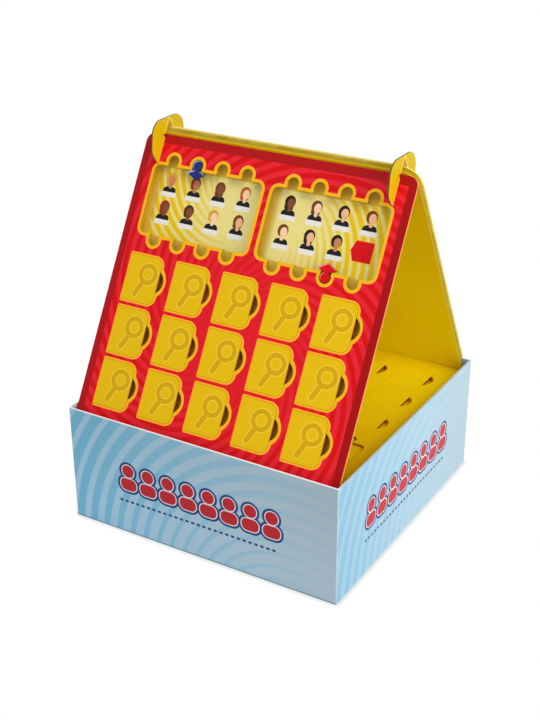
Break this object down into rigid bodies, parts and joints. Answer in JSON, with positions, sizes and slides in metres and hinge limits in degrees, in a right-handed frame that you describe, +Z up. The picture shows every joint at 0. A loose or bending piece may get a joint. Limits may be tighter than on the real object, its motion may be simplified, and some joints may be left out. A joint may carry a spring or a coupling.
{
  "type": "face guessing flip game",
  "caption": "Tabletop guessing game set up for play: hinged door boards lean as a tent on a platform in an open carton tray, with saddle clips and arrow markers.",
  "frame": {"origin": "centre of the carton tray's underside, on the surface that it stands on", "axes": "+Z up, +X to the player's right, +Y away from the player, so the red door board faces -Y"},
  "size_m": [0.25, 0.248, 0.3179],
  "materials": {
    "carton": "satin laminated print",
    "red_board": "satin laminated print",
    "door_board": "satin laminated print",
    "yellow_board": "satin laminated print",
    "card": "satin laminated print",
    "blue_board": "satin laminated print",
    "red_board_marker": "satin laminated print"
  },
  "bodies": {
    "tray": {"carton_tray": "carton"},
    "platform": {"platform": "yellow_board"},
    "stand": {"front_board": "red_board", "front_backing": "yellow_board", "character_card": "card", "floor_board": "yellow_board", "back_board": "yellow_board", "back_tray": "yellow_board"},
    "front_door_r3_c1": {"front_door_r3_c1": "door_board"},
    "front_door_r3_c2": {"front_door_r3_c2": "door_board"},
    "front_door_r3_c3": {"front_door_r3_c3": "door_board"},
    "front_door_r3_c4": {"front_door_r3_c4": "door_board"},
    "front_door_r3_c5": {"front_door_r3_c5": "door_board"},
    "front_door_r2_c1": {"front_door_r2_c1": "door_board"},
    "front_door_r2_c2": {"front_door_r2_c2": "door_board"},
    "front_door_r2_c3": {"front_door_r2_c3": "door_board"},
    "front_door_r2_c4": {"front_door_r2_c4": "door_board"},
    "front_door_r2_c5": {"front_door_r2_c5": "door_board"},
    "front_door_r1_c1": {"front_door_r1_c1": "door_board"},
    "front_door_r1_c2": {"front_door_r1_c2": "door_board"},
    "front_door_r1_c3": {"front_door_r1_c3": "door_board"},
    "front_door_r1_c4": {"front_door_r1_c4": "door_board"},
    "front_door_r1_c5": {"front_door_r1_c5": "door_board"},
    "floor_door_r3_c1": {"floor_door_r3_c1": "door_board"},
    "floor_door_r3_c2": {"floor_door_r3_c2": "door_board"},
    "floor_door_r3_c3": {"floor_door_r3_c3": "door_board"},
    "floor_door_r3_c4": {"floor_door_r3_c4": "door_board"},
    "floor_door_r3_c5": {"floor_door_r3_c5": "door_board"},
    "floor_door_r2_c1": {"floor_door_r2_c1": "door_board"},
    "floor_door_r2_c2": {"floor_door_r2_c2": "door_board"},
    "floor_door_r2_c3": {"floor_door_r2_c3": "door_board"},
    "floor_door_r2_c4": {"floor_door_r2_c4": "door_board"},
    "floor_door_r2_c5": {"floor_door_r2_c5": "door_board"},
    "floor_door_r1_c1": {"floor_door_r1_c1": "door_board"},
    "floor_door_r1_c2": {"floor_door_r1_c2": "door_board"},
    "floor_door_r1_c3": {"floor_door_r1_c3": "door_board"},
    "floor_door_r1_c4": {"floor_door_r1_c4": "door_board"},
    "floor_door_r1_c5": {"floor_door_r1_c5": "door_board"},
    "clip_left": {"clip_left": "yellow_board"},
    "clip_right": {"clip_right": "yellow_board"},
    "arrow_blue": {"arrow_blue": "blue_board"},
    "arrow_red": {"arrow_red": "red_board_marker"}
  },
  "joints": [
    {"name": "platform_lift", "type": "slide", "parent": "tray", "child": "platform", "axis": [0, 0, 1], "range_m": [0, 0.1]},
    {"name": "stand_lift", "type": "slide", "parent": "platform", "child": "stand", "axis": [0, 0, 1], "range_m": [0, 0.12]},
    {"name": "front_hinge_r3_c1", "type": "hinge", "parent": "stand", "child": "front_door_r3_c1", "pos_m": [-0.1077, -0.10409, 0.12402], "axis": [0, -0.5, -0.866], "range_deg": [0, 150]},
    {"name": "front_hinge_r3_c2", "type": "hinge", "parent": "stand", "child": "front_door_r3_c2", "pos_m": [-0.0634, -0.10409, 0.12402], "axis": [0, -0.5, -0.866], "range_deg": [0, 150]},
    {"name": "front_hinge_r3_c3", "type": "hinge", "parent": "stand", "child": "front_door_r3_c3", "pos_m": [-0.0191, -0.10409, 0.12402], "axis": [0, -0.5, -0.866], "range_deg": [0, 150]},
    {"name": "front_hinge_r3_c4", "type": "hinge", "parent": "stand", "child": "front_door_r3_c4", "pos_m": [0.0252, -0.10409, 0.12402], "axis": [0, -0.5, -0.866], "range_deg": [0, 150]},
    {"name": "front_hinge_r3_c5", "type": "hinge", "parent": "stand", "child": "front_door_r3_c5", "pos_m": [0.0695, -0.10409, 0.12402], "axis": [0, -0.5, -0.866], "range_deg": [0, 150]},
    {"name": "front_hinge_r2_c1", "type": "hinge", "parent": "stand", "child": "front_door_r2_c1", "pos_m": [-0.1077, -0.08198, 0.16232], "axis": [0, -0.5, -0.866], "range_deg": [0, 150]},
    {"name": "front_hinge_r2_c2", "type": "hinge", "parent": "stand", "child": "front_door_r2_c2", "pos_m": [-0.0634, -0.08198, 0.16232], "axis": [0, -0.5, -0.866], "range_deg": [0, 150]},
    {"name": "front_hinge_r2_c3", "type": "hinge", "parent": "stand", "child": "front_door_r2_c3", "pos_m": [-0.0191, -0.08198, 0.16232], "axis": [0, -0.5, -0.866], "range_deg": [0, 150]},
    {"name": "front_hinge_r2_c4", "type": "hinge", "parent": "stand", "child": "front_door_r2_c4", "pos_m": [0.0252, -0.08198, 0.16232], "axis": [0, -0.5, -0.866], "range_deg": [0, 150]},
    {"name": "front_hinge_r2_c5", "type": "hinge", "parent": "stand", "child": "front_door_r2_c5", "pos_m": [0.0695, -0.08198, 0.16232], "axis": [0, -0.5, -0.866], "range_deg": [0, 150]},
    {"name": "front_hinge_r1_c1", "type": "hinge", "parent": "stand", "child": "front_door_r1_c1", "pos_m": [-0.1077, -0.05986, 0.20063], "axis": [0, -0.5, -0.866], "range_deg": [0, 150]},
    {"name": "front_hinge_r1_c2", "type": "hinge", "parent": "stand", "child": "front_door_r1_c2", "pos_m": [-0.0634, -0.05986, 0.20063], "axis": [0, -0.5, -0.866], "range_deg": [0, 150]},
    {"name": "front_hinge_r1_c3", "type": "hinge", "parent": "stand", "child": "front_door_r1_c3", "pos_m": [-0.0191, -0.05986, 0.20063], "axis": [0, -0.5, -0.866], "range_deg": [0, 150]},
    {"name": "front_hinge_r1_c4", "type": "hinge", "parent": "stand", "child": "front_door_r1_c4", "pos_m": [0.0252, -0.05986, 0.20063], "axis": [0, -0.5, -0.866], "range_deg": [0, 150]},
    {"name": "front_hinge_r1_c5", "type": "hinge", "parent": "stand", "child": "front_door_r1_c5", "pos_m": [0.0695, -0.05986, 0.20063], "axis": [0, -0.5, -0.866], "range_deg": [0, 150]},
    {"name": "floor_hinge_r3_c1", "type": "hinge", "parent": "stand", "child": "floor_door_r3_c1", "pos_m": [-0.1077, 0.08268, 0.094], "axis": [0, -1, 0], "range_deg": [0, 90]},
    {"name": "floor_hinge_r3_c2", "type": "hinge", "parent": "stand", "child": "floor_door_r3_c2", "pos_m": [-0.0634, 0.08268, 0.094], "axis": [0, -1, 0], "range_deg": [0, 90]},
    {"name": "floor_hinge_r3_c3", "type": "hinge", "parent": "stand", "child": "floor_door_r3_c3", "pos_m": [-0.0191, 0.08268, 0.094], "axis": [0, -1, 0], "range_deg": [0, 90]},
    {"name": "floor_hinge_r3_c4", "type": "hinge", "parent": "stand", "child": "floor_door_r3_c4", "pos_m": [0.0252, 0.08268, 0.094], "axis": [0, -1, 0], "range_deg": [0, 90]},
    {"name": "floor_hinge_r3_c5", "type": "hinge", "parent": "stand", "child": "floor_door_r3_c5", "pos_m": [0.0695, 0.08268, 0.094], "axis": [0, -1, 0], "range_deg": [0, 90]},
    {"name": "floor_hinge_r2_c1", "type": "hinge", "parent": "stand", "child": "floor_door_r2_c1", "pos_m": [-0.1077, 0.03845, 0.094], "axis": [0, -1, 0], "range_deg": [0, 90]},
    {"name": "floor_hinge_r2_c2", "type": "hinge", "parent": "stand", "child": "floor_door_r2_c2", "pos_m": [-0.0634, 0.03845, 0.094], "axis": [0, -1, 0], "range_deg": [0, 90]},
    {"name": "floor_hinge_r2_c3", "type": "hinge", "parent": "stand", "child": "floor_door_r2_c3", "pos_m": [-0.0191, 0.03845, 0.094], "axis": [0, -1, 0], "range_deg": [0, 90]},
    {"name": "floor_hinge_r2_c4", "type": "hinge", "parent": "stand", "child": "floor_door_r2_c4", "pos_m": [0.0252, 0.03845, 0.094], "axis": [0, -1, 0], "range_deg": [0, 90]},
    {"name": "floor_hinge_r2_c5", "type": "hinge", "parent": "stand", "child": "floor_door_r2_c5", "pos_m": [0.0695, 0.03845, 0.094], "axis": [0, -1, 0], "range_deg": [0, 90]},
    {"name": "floor_hinge_r1_c1", "type": "hinge", "parent": "stand", "child": "floor_door_r1_c1", "pos_m": [-0.1077, -0.00578, 0.094], "axis": [0, -1, 0], "range_deg": [0, 90]},
    {"name": "floor_hinge_r1_c2", "type": "hinge", "parent": "stand", "child": "floor_door_r1_c2", "pos_m": [-0.0634, -0.00578, 0.094], "axis": [0, -1, 0], "range_deg": [0, 90]},
    {"name": "floor_hinge_r1_c3", "type": "hinge", "parent": "stand", "child": "floor_door_r1_c3", "pos_m": [-0.0191, -0.00578, 0.094], "axis": [0, -1, 0], "range_deg": [0, 90]},
    {"name": "floor_hinge_r1_c4", "type": "hinge", "parent": "stand", "child": "floor_door_r1_c4", "pos_m": [0.0252, -0.00578, 0.094], "axis": [0, -1, 0], "range_deg": [0, 90]},
    {"name": "floor_hinge_r1_c5", "type": "hinge", "parent": "stand", "child": "floor_door_r1_c5", "pos_m": [0.0695, -0.00578, 0.094], "axis": [0, -1, 0], "range_deg": [0, 90]},
    {"name": "clip_left_lift", "type": "slide", "parent": "stand", "child": "clip_left", "axis": [0, 0, 1], "range_m": [0, 0.035]},
    {"name": "clip_right_lift", "type": "slide", "parent": "stand", "child": "clip_right", "axis": [0, 0, 1], "range_m": [0, 0.035]},
    {"name": "arrow_blue_pull", "type": "slide", "parent": "stand", "child": "arrow_blue", "axis": [0, -0.866, 0.5], "range_m": [0, 0.02]},
    {"name": "arrow_red_pull", "type": "slide", "parent": "stand", "child": "arrow_red", "axis": [0, -0.866, 0.5], "range_m": [0, 0.02]}
  ]
}
